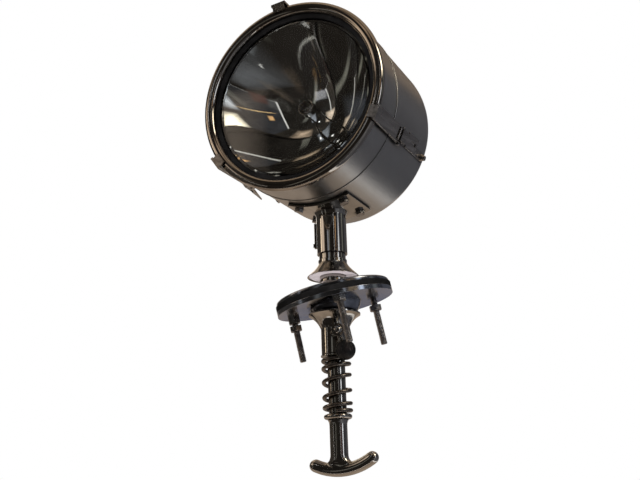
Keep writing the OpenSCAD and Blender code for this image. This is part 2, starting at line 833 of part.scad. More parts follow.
// A bent channel: cheeks at the pins, and a bowed plate that widens to the free end
module latch_lever(i) {
    top = eye_r + clear;
    bow = 2.5;
    neck_len = 16;
    pin_head_r = 2.4;
    pin_head_t = 1.4;
    bow_steps = 8;
    slot_w = 3.4;
    slot_len = 9;
    plate_front = latch_pin_forward;
    plate_back = latch_pin_forward - lever_len;
    out0 = latch_pin_out + top;
    lower = [
        for (j = [0 : bow_steps])
            let (s = j / bow_steps)
            [plate_front + (plate_back - plate_front) * s, out0 + bow * s * s]
    ];
    upper = [for (j = [bow_steps : -1 : 0]) [lower[j].x, lower[j].y + latch_sheet]];
    color("silver") at_latch(i) difference() {
        union() {
            spread(-lever_w / 2, lever_w / 2) polygon(concat(lower, upper));
            intersection() {
                spread(-arm_out, arm_out) polygon(concat(lower, upper));
                translate([-arm_out, 0, plate_back])
                    cube([2 * arm_out, out0 + 2 * latch_pin_h, lever_len - neck_len]);
            }
            for (side = [-1, 1]) {
                cheek_x = side > 0 ? cheek_in : -lever_w / 2;
                spread(cheek_x, cheek_x + lever_w / 2 - cheek_in) cheek_outline(out0);
                pin_x = side > 0 ? cheek_in : -arm_out - clear - over;
                head_x = side > 0 ? arm_out + clear : -arm_out - clear - pin_head_t;
                translate([0, link_pin_out, link_pin_forward]) {
                    cross_rod(link_pin_r, pin_x, pin_x + arm_out + clear + over - cheek_in);
                    cross_rod(pin_head_r, head_x, head_x + pin_head_t);
                }
            }
        }
        translate([0, latch_pin_out, latch_pin_forward]) cross_rod(latch_pin_r + run_gap, -lever_w, lever_w);
        translate([-slot_w / 2, out0 - over, plate_back + 4])
            cube([slot_w, bow + latch_sheet + 2 * over, slot_len]);
    }
}

module cheek_outline(top) {
    union() {
        translate([latch_pin_forward, latch_pin_out]) circle(r = eye_r, $fn = 48);
        translate([link_pin_forward, link_pin_out]) circle(r = eye_r, $fn = 48);
        polygon([
            [latch_pin_forward, top + latch_sheet / 2],
            [latch_pin_forward, latch_pin_out - eye_r],
            [link_pin_forward, link_pin_out - eye_r],
            [link_pin_forward - eye_r, link_pin_out],
            [link_pin_forward - eye_r - 3, top + latch_sheet / 2],
        ]);
    }
}

// Two side arms from the lever's outer pins, the plate that joins them, and the lip over the bezel
module latch_link(i) {
    arm_h = 3;
    lip_t = 2.2;
    lip_drop = bezel_section_r + 1;
    bridge_back = bezel_forward - bezel_section_r - 2;
    front = lip_forward + lip_t;
    plate_back = latch_pin_forward + eye_r + 4;
    plate_top = arm_front_out + arm_h / 2;
    color("silver") at_latch(i) difference() {
        union() {
            for (x = [arm_in, -arm_out]) spread(x, x + latch_sheet) union() {
                translate([link_pin_forward, link_pin_out]) circle(r = eye_r, $fn = 48);
                polygon([
                    [link_pin_forward, link_pin_out + eye_r],
                    [link_pin_forward, link_pin_out - eye_r],
                    [bridge_back, arm_front_out - arm_h / 2],
                    [front, arm_front_out - arm_h / 2],
                    [front, arm_front_out + arm_h / 2],
                    [bridge_back, arm_front_out + arm_h / 2],
                ]);
            }
            translate([-arm_out, plate_top - latch_sheet, plate_back])
                cube([2 * arm_out, latch_sheet, front - plate_back]);
            translate([-arm_in, bezel_r - lip_drop, lip_forward])
                cube([2 * arm_in, lip_drop + plate_top - latch_sheet / 2 - bezel_r, lip_t]);
        }
        translate([0, link_pin_out, link_pin_forward])
            cross_rod(link_pin_r + run_gap, -2 * arm_out, 2 * arm_out);
    }
}

module latch_lever_1() { latch_lever(0); }
module latch_lever_2() { latch_lever(1); }
module latch_lever_3() { latch_lever(2); }
module latch_link_1() { latch_link(0); }
module latch_link_2() { latch_link(1); }
module latch_link_3() { latch_link(2); }

// Handle inside the cabin

// A ring with a half-round rim
module handle_collar() {
    rim_r = collar_t / 2;
    steps = 10;
    bore = spindle_r + seat_gap;
    rim = [
        for (i = [0 : steps])
            let (a = 180 * i / steps - 90)
            [collar_r - rim_r + rim_r * cos(a), rim_r * sin(a)]
    ];
    color("silver") on_stem() translate([0, 0, -collar_top_z - rim_r]) rotate_extrude($fn = 96)
        polygon(concat([[bore, -rim_r]], rim, [[bore, rim_r]]));
}

// Shank and the curved cross bar with round ends, with fillets where they meet
module handle() {
    left = bar_left / bar_bend * deg;
    right = bar_right / bar_bend * deg;
    fillet = 9;
    web_half = 4.4;
    flare = 2.5;
    flare_h = 4;
    steps = 6;
    web_low = -bar_z + bar_r / 2;
    web_top = -bar_z + bar_r + fillet;
    web = concat(
        [[0, web_top], [0, web_low], [spindle_r + fillet, web_low]],
        [
            for (i = [0 : steps])
                let (a = 90 * i / steps)
                [spindle_r + fillet * (1 - sin(a)), web_top - fillet * cos(a)]
        ]
    );
    color("silver") on_stem() {
        rod(spindle_bore - run_gap, -spindle_end_z - over, -spindle_end_z + 12);
        rod(spindle_r, -bar_z, -spindle_end_z - seat_gap);
        translate([0, 0, -spindle_end_z - seat_gap - flare_h])
            cylinder(r1 = spindle_r, r2 = spindle_r + flare, h = flare_h, $fn = 96);
        for (side = [0, 1]) mirror([side, 0, 0]) translate([0, web_half, 0]) rotate([90, 0, 0])
            linear_extrude(2 * web_half) polygon(web);
        translate([0, 0, bar_bend - bar_z]) rotate([90, 0, 0]) {
            rotate(-90 - left) rotate_extrude(angle = left + right, $fn = 96)
                translate([bar_bend, 0]) circle(r = bar_r, $fn = 48);
            for (a = [-90 - left, -90 + right]) rotate(a)
                translate([bar_bend, 0, 0]) sphere(r = bar_r + bar_end_lip, $fn = 48);
        }
    }
}

deck_flange();
deck_gasket();
clamp_flange();
deck_studs();
stud_nuts();
ball_liner();
ball();
bell();
lock_lever();
lock_knob();
spring_washer();
spring();
stem_tube();
spindle();
rain_skirt();
saddle();
saddle_bolts();
sleeve_strip();
rear_housing();
seam_gasket();
front_shell();
bezel();
lens_gasket();
lamp_lens();
lamp_mirror();
lamp_retainer();
filament_posts();
filament();
filament_shield();
lamp_base();
lamp_terminals();
latch_bases();
latch_pins();
latch_lever_1();
latch_lever_2();
latch_lever_3();
latch_link_1();
latch_link_2();
latch_link_3();
handle_collar();
handle();
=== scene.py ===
"""Marine searchlight: finishes, threads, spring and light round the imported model. Metres, +Z up."""
import json
import math

import bpy
from mathutils import Matrix, Vector


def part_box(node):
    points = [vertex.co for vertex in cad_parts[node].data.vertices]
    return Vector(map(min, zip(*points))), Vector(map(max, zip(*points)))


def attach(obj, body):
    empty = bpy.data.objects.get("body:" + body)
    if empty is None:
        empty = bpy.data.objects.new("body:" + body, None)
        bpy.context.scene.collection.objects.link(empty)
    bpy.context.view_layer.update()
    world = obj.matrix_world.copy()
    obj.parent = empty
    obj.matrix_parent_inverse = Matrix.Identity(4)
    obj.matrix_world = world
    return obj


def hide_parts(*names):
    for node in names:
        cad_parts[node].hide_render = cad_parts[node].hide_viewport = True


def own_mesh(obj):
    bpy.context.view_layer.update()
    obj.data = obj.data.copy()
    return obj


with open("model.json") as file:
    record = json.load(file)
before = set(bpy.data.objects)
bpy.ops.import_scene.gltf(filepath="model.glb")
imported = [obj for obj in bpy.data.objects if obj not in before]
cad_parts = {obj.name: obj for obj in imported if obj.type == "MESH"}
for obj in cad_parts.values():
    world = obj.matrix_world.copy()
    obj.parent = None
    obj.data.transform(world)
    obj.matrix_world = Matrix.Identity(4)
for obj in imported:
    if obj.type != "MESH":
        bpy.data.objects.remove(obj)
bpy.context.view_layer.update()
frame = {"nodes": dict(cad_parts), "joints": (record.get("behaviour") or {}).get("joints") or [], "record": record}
nodes = frame["nodes"]
joints = {j["name"]: j for j in frame["joints"]}

# Places taken from the frame: the ball's centre, the stem's axis and the way the lamp faces
PIVOT = Vector(joints["pan"]["pos_m"])
STEM_AXIS = Vector(joints["pan"]["axis"]).normalized()
HEAD_FORWARD = Vector(joints["tilt_side"]["axis"]).normalized() * -1
STEM_RIGHT = HEAD_FORWARD.cross(STEM_AXIS).normalized() * -1


def frame_matrix(x, y, z, origin):
    """The matrix whose columns are the given axes and origin."""
    m = Matrix((x, y, z)).transposed().to_4x4()
    m.translation = origin
    return m


# Local frames: the stem with Z along it, and the head with Z forward and Y up
STEM = frame_matrix(STEM_RIGHT, HEAD_FORWARD * -1, STEM_AXIS, PIVOT)
HEAD_HEIGHT = 0.217
HEAD = STEM @ Matrix.Translation((0, 0, HEAD_HEIGHT)) @ Matrix.Rotation(math.pi / 2, 4, "X")

# Camera, at the place and turn that the photograph was taken from
PHOTO_WIDTH = 640
FOCAL_PIXELS = 900
SENSOR_WIDTH = 36
CAMERA_PLACE = Vector((0.3804, -0.9470, -0.1887))
CAMERA_AZIMUTH = math.radians(21.89)
CAMERA_ELEVATION = math.radians(-14.48)
CAMERA_ROLL = math.radians(-13.28)


def make_camera():
    data = bpy.data.cameras.new("camera")
    data.sensor_width = SENSOR_WIDTH
    data.lens = FOCAL_PIXELS * SENSOR_WIDTH / PHOTO_WIDTH
    data.clip_start = 0.01
    data.clip_end = 100
    camera = bpy.data.objects.new("camera", data)
    bpy.context.scene.collection.objects.link(camera)
    level = math.cos(CAMERA_ELEVATION)
    back = Vector((
        math.sin(CAMERA_AZIMUTH) * level,
        -math.cos(CAMERA_AZIMUTH) * level,
        math.sin(CAMERA_ELEVATION),
    ))
    right = (back * -1).cross(Vector((0, 0, 1))).normalized()
    up = right.cross(back * -1)
    turned_right = right * math.cos(CAMERA_ROLL) + up * math.sin(CAMERA_ROLL)
    turned_up = up * math.cos(CAMERA_ROLL) - right * math.sin(CAMERA_ROLL)
    camera.matrix_world = frame_matrix(turned_right, turned_up, back, CAMERA_PLACE)
    bpy.context.scene.camera = camera


# Material building blocks
NOISE_ROUGHNESS = 0.55
EDGE_SAMPLES = 6
POLISHED_EDGE = 0.0007
TURNED_EDGE = 0.0005
SHARP_EDGE = 0.00015
# Painted shade in corners and gaps: how far it looks for a neighbour, how open a corner is where it starts and
# ends, how dark
GAP_SHADE_SAMPLES = 8
GAP_SHADE_REACH = 0.005
GAP_SHADE_OPENNESS = (0.45, 0.95)
GAP_SHADE_DARKEST = 0.12
GLASS_TINT = (0.96, 0.97, 0.96, 1)
GLASS_IOR = 1.47


def new_material(name):
    """A fresh node material, its tree and its main shader."""
    material = bpy.data.materials.new(name)
    material.use_nodes = True
    tree = material.node_tree
    return material, tree, tree.nodes["Principled BSDF"]


def noise(tree, scale, detail, stretch=None):
    """A noise value over the object's own coordinates, stretched along an axis if asked."""
    coords = tree.nodes.new("ShaderNodeTexCoord")
    texture = tree.nodes.new("ShaderNodeTexNoise")
    texture.inputs["Scale"].default_value = scale
    texture.inputs["Detail"].default_value = detail
    texture.inputs["Roughness"].default_value = NOISE_ROUGHNESS
    source = coords.outputs["Object"]
    if stretch:
        mapping = tree.nodes.new("ShaderNodeMapping")
        mapping.inputs["Scale"].default_value = stretch
        tree.links.new(source, mapping.inputs["Vector"])
        source = mapping.outputs["Vector"]
    tree.links.new(source, texture.inputs["Vector"])
    return texture.outputs["Fac"]


def ramp(tree, value, low, high, color_low, color_high):
    """Maps a value between two thresholds to two colours."""
    node = tree.nodes.new("ShaderNodeValToRGB")
    node.color_ramp.elements[0].position = low
    node.color_ramp.elements[1].position = high
    node.color_ramp.elements[0].color = (*color_low, 1)
    node.color_ramp.elements[1].color = (*color_high, 1)
    tree.links.new(value, node.inputs["Fac"])
    return node.outputs["Color"]


def mapped(tree, value, low, high, out_low, out_high):
    """Maps a value between two limits to two other limits."""
    node = tree.nodes.new("ShaderNodeMapRange")
    node.inputs["From Min"].default_value = low
    node.inputs["From Max"].default_value = high
    node.inputs["To Min"].default_value = out_low
    node.inputs["To Max"].default_value = out_high
    tree.links.new(value, node.inputs["Value"])
    return node.outputs["Result"]


def bump(tree, shader, value, strength, distance):
    """Adds a fine relief to the shader's normal, on top of what is there."""
    node = tree.nodes.new("ShaderNodeBump")
    node.inputs["Strength"].default_value = strength
    node.inputs["Distance"].default_value = distance
    tree.links.new(value, node.inputs["Height"])
    normal = shader.inputs["Normal"]
    if normal.is_linked:
        tree.links.new(normal.links[0].from_socket, node.inputs["Normal"])
    tree.links.new(node.outputs["Normal"], normal)


def soft_edges(tree, shader, radius):
    """Rounds the edges in the shading, so that they catch the light as worn edges do."""
    node = tree.nodes.new("ShaderNodeBevel")
    node.samples = EDGE_SAMPLES
    node.inputs["Radius"].default_value = radius
    tree.links.new(node.outputs["Normal"], shader.inputs["Normal"])


def gap_shaded(tree, color):
    """Darkens a colour in corners and narrow gaps: painted shade, where shadow falls."""
    corner = tree.nodes.new("ShaderNodeAmbientOcclusion")
    corner.samples = GAP_SHADE_SAMPLES
    corner.inputs["Distance"].default_value = GAP_SHADE_REACH
    scale = tree.nodes.new("ShaderNodeVectorMath")
    scale.operation = "SCALE"
    tree.links.new(color, scale.inputs[0])
    amount = mapped(tree, corner.outputs["AO"], *GAP_SHADE_OPENNESS, GAP_SHADE_DARKEST, 1)
    tree.links.new(amount, scale.inputs["Scale"])
    return scale.outputs["Vector"]


def polished(name, clean, tarnished, rough_low, rough_high, edge=POLISHED_EDGE, grain=None):
    """Polished metal with a cloudy tarnish or grain, wiping marks in the gloss, hair scratches and painted shade
    in corners and gaps.
    """
    material, tree, shader = new_material(name)
    shader.inputs["Metallic"].default_value = 1
    cloud = noise(tree, 260, 4, grain) if grain else noise(tree, 16, 6)
    color = ramp(tree, cloud, 0.35, 0.72, clean, tarnished)
    # Painted shade: the colour darkens in corners and narrow gaps, where shadow falls
    tree.links.new(gap_shaded(tree, color), shader.inputs["Base Color"])
    wipe = noise(tree, 60, 5, (1, 1, 0.25))
    tree.links.new(mapped(tree, wipe, 0.3, 0.75, rough_low, rough_high), shader.inputs["Roughness"])
    soft_edges(tree, shader, edge)
    bump(tree, shader, noise(tree, 9, 2), 0.03, 0.002)
    bump(tree, shader, noise(tree, 700, 2, (1, 1, 0.05)), 0.008, 0.0003)
    return material


def turned_steel(name, clean, dark, rough):
    """Plain machined steel with fine lines and dull spots."""
    material, tree, shader = new_material(name)
    shader.inputs["Metallic"].default_value = 1
    spots = noise(tree, 140, 6)
    tree.links.new(ramp(tree, spots, 0.38, 0.7, clean, dark), shader.inputs["Base Color"])
    tree.links.new(mapped(tree, spots, 0.3, 0.7, rough, rough + 0.2), shader.inputs["Roughness"])
    soft_edges(tree, shader, TURNED_EDGE)
    bump(tree, shader, noise(tree, 1500, 2, (1, 1, 0.1)), 0.05, 0.0004)
    return material


def rubber(name, dark, worn):
    """Black sheet rubber with a dusty bloom and a fine grain."""
    material, tree, shader = new_material(name)
    bloom = noise(tree, 45, 6)
    tree.links.new(ramp(tree, bloom, 0.45, 0.8, dark, worn), shader.inputs["Base Color"])
    shader.inputs["Specular IOR Level"].default_value = 0.06
    tree.links.new(mapped(tree, bloom, 0.3, 0.8, 0.45, 0.75), shader.inputs["Roughness"])
    bump(tree, shader, noise(tree, 1400, 3), 0.12, 0.0006)
    return material


def moulded(name, dark, worn, rough):
    """Moulded plastic with faint flow marks and rubbed spots."""
    material, tree, shader = new_material(name)
    rub = noise(tree, 90, 5)
    tree.links.new(ramp(tree, rub, 0.5, 0.85, dark, worn), shader.inputs["Base Color"])
    tree.links.new(mapped(tree, rub, 0.3, 0.8, rough, rough + 0.2), shader.inputs["Roughness"])
    shader.inputs["Specular IOR Level"].default_value = 0.3
    bump(tree, shader, noise(tree, 700, 2), 0.06, 0.0005)
    return material


def clear_glass(name):
    """The lamp's front glass: thin, clear, with a faint haze."""
    material, tree, shader = new_material(name)
    shader.inputs["Base Color"].default_value = GLASS_TINT
    shader.inputs["Transmission Weight"].default_value = 1
    shader.inputs["IOR"].default_value = GLASS_IOR
    haze = noise(tree, 25, 5)
    tree.links.new(mapped(tree, haze, 0.4, 0.8, 0.0, 0.03), shader.inputs["Roughness"])
    return material


def silvered(name):
    """The lamp's mirror: bright silver, slightly uneven."""
    material, tree, shader = new_material(name)
    shader.inputs["Metallic"].default_value = 1
    cloud = noise(tree, 22, 5)
    bright = (0.84, 0.83, 0.80)
    dull = (0.72, 0.70, 0.66)
    tree.links.new(ramp(tree, cloud, 0.4, 0.75, bright, dull), shader.inputs["Base Color"])
    tree.links.new(mapped(tree, cloud, 0.3, 0.8, 0.02, 0.07), shader.inputs["Roughness"])
    bump(tree, shader, noise(tree, 14, 2), 0.05, 0.002)
    return material


# One finish for each material slot of the record
MATERIALS = {
    # The flange steel's blue tint is partly its own cool tone, partly a painted reflection of blue surroundings
    "flange_steel": polished("flange steel", (0.46, 0.49, 0.56), (0.34, 0.36, 0.41), 0.10, 0.22),
    "rubber": rubber("rubber", (0.0015, 0.0015, 0.0015), (0.004, 0.004, 0.004)),
    "fastener_steel": turned_steel("fastener steel", (0.50, 0.48, 0.47), (0.17, 0.15, 0.14), 0.20),
    "liner_plastic": moulded("liner plastic", (0.62, 0.58, 0.59), (0.40, 0.36, 0.37), 0.45),
    "stem_chrome": polished("stem chrome", (0.58, 0.55, 0.51), (0.40, 0.37, 0.33), 0.05, 0.15),
    "knob_plastic": moulded("knob plastic", (0.001, 0.001, 0.001), (0.003, 0.002, 0.002), 0.35),
    "spring_steel": turned_steel("spring steel", (0.30, 0.27, 0.24), (0.13, 0.11, 0.10), 0.22),
    "drum_steel": polished("drum steel", (0.56, 0.55, 0.53), (0.51, 0.49, 0.47), 0.30, 0.34, SHARP_EDGE),
    "bezel_chrome": polished("bezel chrome", (0.52, 0.48, 0.43), (0.34, 0.30, 0.26), 0.05, 0.14),
    "lamp_glass": clear_glass("lamp glass"),
    "lamp_silver": silvered("lamp silver"),
    "retainer_steel": turned_steel("retainer steel", (0.30, 0.30, 0.30), (0.18, 0.17, 0.16), 0.25),
    "lamp_metal": turned_steel("lamp metal", (0.62, 0.60, 0.57), (0.40, 0.38, 0.35), 0.15),
    "lamp_cement": moulded("lamp cement", (0.55, 0.51, 0.44), (0.40, 0.37, 0.32), 0.6),
    "terminal_brass": turned_steel("terminal brass", (0.62, 0.46, 0.22), (0.35, 0.25, 0.12), 0.25),
    "latch_steel": polished(
        "latch steel", (0.62, 0.58, 0.54), (0.26, 0.24, 0.22), 0.20, 0.34, SHARP_EDGE, (1, 0.05, 1)
    ),
}


def dress_nodes():
    """Gives every CAD node the material of its slot."""
    for part in frame["record"]["subparts"]:
        mesh = nodes[part["node"]].data
        mesh.materials.clear()
        mesh.materials.append(MATERIALS[part["material_slot"]])


# Mesh building blocks
ON_AXIS = 1e-7


def add_piece(name, verts, faces, material, smooth_angle=40):
    """A mesh object with smooth shading that breaks at sharp edges."""
    mesh = bpy.data.meshes.new(name)
    mesh.from_pydata(verts, [], faces)
    mesh.validate()
    mesh.update()
    mesh.shade_smooth()
    mesh.set_sharp_from_angle(angle=math.radians(smooth_angle))
    mesh.materials.append(material)
    piece = bpy.data.objects.new(name, mesh)
    bpy.context.scene.collection.objects.link(piece)
    return piece


def sweep_rings(rings):
    """Vertices and faces of a tube with closed ends, through rings of points of equal count."""
    count = len(rings[0])
    verts = [p for ring in rings for p in ring]
    faces = []
    for i in range(len(rings) - 1):
        for k in range(count):
            n = (k + 1) % count
            faces.append((i * count + k, i * count + n, (i + 1) * count + n, (i + 1) * count + k))
    faces.append(tuple(range(count - 1, -1, -1)))
    last = (len(rings) - 1) * count
    faces.append(tuple(last + k for k in range(count)))
    return verts, faces


def revolve(name, profile, axes, material, segments=160):
    """A closed outline of radius and height turned round the Z axis of the given frame."""
    verts = []
    rows = []
    for r, z in profile:
        if r < ON_AXIS:
            rows.append([len(verts)] * segments)
            verts.append(axes @ Vector((0, 0, z)))
            continue
        rows.append([len(verts) + k for k in range(segments)])
        for k in range(segments):
            a = 2 * math.pi * k / segments
            verts.append(axes @ Vector((r * math.cos(a), r * math.sin(a), z)))
    faces = []
    for i, row in enumerate(rows):
        following = rows[(i + 1) % len(rows)]
        for k in range(segments):
            n = (k + 1) % segments
            corners = list(dict.fromkeys((row[k], following[k], following[n], row[n])))
            if len(corners) > 2:
                faces.append(corners)
    return add_piece(name, verts, faces, material)


def bake_modifiers(piece):
    """Turns a piece's modifiers into plain geometry."""
    depsgraph = bpy.context.evaluated_depsgraph_get()
    mesh = bpy.data.meshes.new_from_object(piece.evaluated_get(depsgraph))
    piece.modifiers.clear()
    piece.data = mesh
    mesh.shade_smooth()


# Lamp: the silvered bowl and the front glass, as smooth turned forms
MIRROR_EDGE_R = 0.095
MIRROR_DEPTH = 0.074
MIRROR_APEX = 0.0145
MIRROR_RIM_R = 0.102
MIRROR_RIM_T = 0.003
GLASS_T = 0.0025
LENS_RIM_T = 0.0035
LENS_CROWN = 0.006
LENS_STEP = 0.002


def mirror_height(r):
    """The bowl's height above the head's centre at a radius: a parabola."""
    return MIRROR_APEX + MIRROR_DEPTH * (r / MIRROR_EDGE_R) ** 2


def make_mirror():
    """The silvered bowl with its flat rim."""
    steps = 48
    radii = [MIRROR_EDGE_R * i / steps for i in range(steps + 1)]
    front = MIRROR_APEX + MIRROR_DEPTH
    profile = [(r, mirror_height(r)) for r in radii]
    profile += [(MIRROR_RIM_R, front), (MIRROR_RIM_R, front - MIRROR_RIM_T)]
    profile += [(r, mirror_height(r) - GLASS_T) for r in reversed(radii[:-1])]
    mirror = revolve("lamp_bowl", profile, HEAD, MATERIALS["lamp_silver"])
    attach(mirror, "stem")
    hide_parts("lamp_mirror")


def make_lens():
    """The crowned front glass, of even thickness, with its flat rim."""
    steps = 32
    back = MIRROR_APEX + MIRROR_DEPTH
    front = back + LENS_RIM_T
    radii = [MIRROR_EDGE_R * i / steps for i in range(steps + 1)]
    crown = [front + LENS_CROWN * (1 - (r / MIRROR_EDGE_R) ** 2) for r in radii]
    profile = list(zip(radii, crown))
    profile += [(MIRROR_RIM_R, front), (MIRROR_RIM_R, back)]
    inner = [(r, z - GLASS_T) for r, z in zip(radii, crown)]
    profile += [(MIRROR_EDGE_R - LENS_STEP, back)] + list(reversed(inner[:-1]))
    lens = revolve("front_glass", profile, HEAD, MATERIALS["lamp_glass"])
    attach(lens, "stem")
    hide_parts("lamp_lens")


# The cup in front of the filament, open to the front
CUP_R = 0.0098
CUP_WALL = 0.0014
CUP_BACK = 0.050
CUP_FRONT = 0.059


def make_cup():
    """A cup with a rounded lip."""
    inner = CUP_R - CUP_WALL
    lip = CUP_WALL / 2
    profile = [(0, CUP_BACK + CUP_WALL), (inner, CUP_BACK + CUP_WALL), (inner, CUP_FRONT - lip)]
    steps = 8
    for i in range(1, steps):
        a = math.pi * i / steps
        profile.append((CUP_R - lip - lip * math.cos(a), CUP_FRONT - lip + lip * math.sin(a)))
    profile += [(CUP_R, CUP_FRONT - lip), (CUP_R, CUP_BACK), (0, CUP_BACK)]
    cup = revolve("shield_cup", profile, HEAD, MATERIALS["lamp_metal"], segments=64)
    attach(cup, "stem")
    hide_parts("filament_shield")


# A pale seal that closes the skirt from below, round the stem
SEAL_HOLE_R = 0.0157
SEAL_R = 0.0279
SEAL_LOW = 0.0262
SEAL_TOP = 0.0274
SEAL_EDGE = 0.0003


def make_seal():
    profile = [
        (SEAL_HOLE_R, SEAL_TOP),
        (SEAL_R - SEAL_EDGE, SEAL_TOP),
        (SEAL_R, SEAL_LOW + SEAL_EDGE),
        (SEAL_R - SEAL_EDGE, SEAL_LOW),
        (SEAL_HOLE_R, SEAL_LOW),
    ]
    seal = revolve("skirt_seal", profile, STEM, MATERIALS["liner_plastic"], segments=96)
    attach(seal, "stem")


# Studs with a cut thread
STUD_CIRCLE_R = frame["record"]["mounts"][0]["dims"]["pcd_mm"] / 2000
STUD_R = frame["record"]["mounts"][0]["dims"]["stud_r_mm"] / 1000
STUD_COUNT = 3
STUD_BEARING = math.radians(28)
STUD_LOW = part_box("deck_studs")[0][2]
STUD_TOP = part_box("deck_studs")[1][2]
THREAD_PITCH = 0.00125
THREAD_DEPTH = 0.00065
STUD_TIP = 0.0015
STUD_WAIST = 0.0001
THREAD_TOP = -0.0215


def make_studs():
    """Round rods whose surface follows the groove of the thread, with a tapered tip."""
    sides = 24
    steps_per_turn = 6
    rows = int((STUD_TOP - STUD_LOW) / THREAD_PITCH * steps_per_turn)
    verts = []
    faces = []
    for stud in range(STUD_COUNT):
        bearing = STUD_BEARING + stud * 2 * math.pi / STUD_COUNT
        centre = Vector((math.sin(bearing), -math.cos(bearing), 0)) * STUD_CIRCLE_R
        rings = []
        for i in range(rows + 1):
            z = STUD_LOW + (STUD_TOP - STUD_LOW) * i / rows
            tip = max(0, 1 - (z - STUD_LOW) / STUD_TIP) * THREAD_DEPTH
            ring = []
            for k in range(sides):
                phase = (z / THREAD_PITCH - k / sides) % 1
                groove = THREAD_DEPTH * abs(2 * phase - 1)
                r = STUD_R - max(groove, tip) - (STUD_WAIST if z > THREAD_TOP else 0)
                a = 2 * math.pi * k / sides
                ring.append(centre + Vector((r * math.cos(a), r * math.sin(a), z)))
            rings.append(ring)
        ring_verts, ring_faces = sweep_rings(rings)
        faces += [tuple(len(verts) + v for v in face) for face in ring_faces]
        verts += ring_verts
    studs = add_piece("threaded_studs", verts, faces, MATERIALS["fastener_steel"], smooth_angle=70)
    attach(studs, "base")
    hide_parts("deck_studs")


# Cast handle: shank, flare and bent bar melted into one smooth form
SHANK_R = 0.010
SHANK_TOP = 0.1373
SHANK_FLARE = 0.0025
FLARE_MIDDLE = 0.0018
FLARE_MIDDLE_SHARE = 0.35
FLARE_DEPTH = 0.0045
BAR_Z = 0.1918
BAR_BEND = 0.072
BAR_R = 0.0072
BAR_FILLET = 0.009
BAR_LEFT = 0.030
BAR_RIGHT = 0.041
ROOT_SPREAD = 0.6
ROOT_NARROWING = 0.9
HANDLE_VOXEL = 0.0006
HANDLE_SMOOTHING = 0.5
HANDLE_SMOOTH_STEPS = 40


def bar_rings():
    """Rings along the bent bar, closing to a round end at both tips."""
    sides = 32
    steps = 48
    round_steps = 8
    low = -BAR_LEFT / BAR_BEND
    high = BAR_RIGHT / BAR_BEND
    stations = [(low + (high - low) * i / steps, 1.0) for i in range(steps + 1)]
    cap = [math.pi / 2 * i / round_steps for i in range(1, round_steps)]
    before = [(low - BAR_R / BAR_BEND * math.sin(a), math.cos(a)) for a in reversed(cap)]
    after = [(high + BAR_R / BAR_BEND * math.sin(a), math.cos(a)) for a in cap]
    rings = []
    for angle, size in before + stations + after:
        middle = Vector((BAR_BEND * math.sin(angle), 0, BAR_BEND * (1 - math.cos(angle)) - BAR_Z))
        inward = Vector((-math.sin(angle), 0, math.cos(angle)))
        ring = []
        for k in range(sides):
            a = 2 * math.pi * k / sides
            offset = inward * math.cos(a) + Vector((0, 1, 0)) * math.sin(a)
            ring.append(STEM @ (middle + offset * BAR_R * size))
        rings.append(ring)
    return rings


def shank_rings():
    """Rings down the shank: a flare under the collar, then a fillet that spreads along the bar."""
    sides = 48
    fillet_steps = 8
    fillet_top = BAR_R + BAR_FILLET - BAR_Z
    flared = SHANK_R + SHANK_FLARE
    middle = SHANK_R + SHANK_FLARE * FLARE_MIDDLE_SHARE
    sections = [
        (flared, flared, -SHANK_TOP),
        (middle, middle, -SHANK_TOP - FLARE_MIDDLE),
        (SHANK_R, SHANK_R, -SHANK_TOP - FLARE_DEPTH),
    ]
    for i in range(fillet_steps + 1):
        a = math.pi / 2 * i / fillet_steps
        spread = 1 - math.cos(a)
        along = SHANK_R + BAR_FILLET * spread
        across = SHANK_R + (BAR_R - SHANK_R) * spread
        sections.append((along, across, fillet_top - BAR_FILLET * math.sin(a)))
    sections.append((SHANK_R + BAR_FILLET * ROOT_SPREAD, BAR_R * ROOT_NARROWING, -BAR_Z))
    angles = [2 * math.pi * k / sides for k in range(sides)]
    return [
        [STEM @ Vector((along * math.cos(a), across * math.sin(a), z)) for a in angles]
        for along, across, z in sections
    ]


def make_handle():
    """Bar and shank, melted together and smoothed as a casting is."""
    bar_verts, bar_faces = sweep_rings(bar_rings())
    shank_verts, shank_faces = sweep_rings(shank_rings())
    faces = bar_faces + [tuple(len(bar_verts) + v for v in face) for face in shank_faces]
    handle = add_piece("cast_handle", bar_verts + shank_verts, faces, MATERIALS["stem_chrome"])
    melt = handle.modifiers.new("melt", "REMESH")
    melt.mode = "VOXEL"
    melt.voxel_size = HANDLE_VOXEL
    soften = handle.modifiers.new("soften", "SMOOTH")
    soften.factor = HANDLE_SMOOTHING
    soften.iterations = HANDLE_SMOOTH_STEPS
    bake_modifiers(handle)
    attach(handle, "stem")
    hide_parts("handle")


# Spring: a smooth round wire whose end turns lie closer, as in the solid
SPRING_R = 0.017
SPRING_WIRE_R = 0.00225
SPRING_TURNS = 5.2
SPRING_TOP = 0.0677
SPRING_END = 0.1314
SPRING_CLOSING = 0.55


def make_spring():
    """The coil, hung on the spring carrier with a mesh of its own; the real spring shortens as the handle is
    pushed up.
    """
    steps = 320
    sides = 16
    coil = SPRING_R - SPRING_WIRE_R
    height = SPRING_END - SPRING_TOP - 2 * SPRING_WIRE_R
    rings = []
    for i in range(steps + 1):
        u = i / steps
        turn = -2 * math.pi * SPRING_TURNS * u
        drop = u - SPRING_CLOSING * math.sin(2 * math.pi * u) / (2 * math.pi)
        z = -SPRING_TOP - SPRING_WIRE_R - drop * height
        out = Vector((math.cos(turn), math.sin(turn), 0))
        ring = []
        for k in range(sides):
            a = 2 * math.pi * k / sides
            local = out * (coil + SPRING_WIRE_R * math.cos(a))
            local.z = z + SPRING_WIRE_R * math.sin(a)
            ring.append(STEM @ local)
        rings.append(ring)
    spring = add_piece("spring_coil", *sweep_rings(rings), MATERIALS["spring_steel"])
    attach(spring, "spring_carrier")
    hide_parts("spring")
    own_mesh(spring)


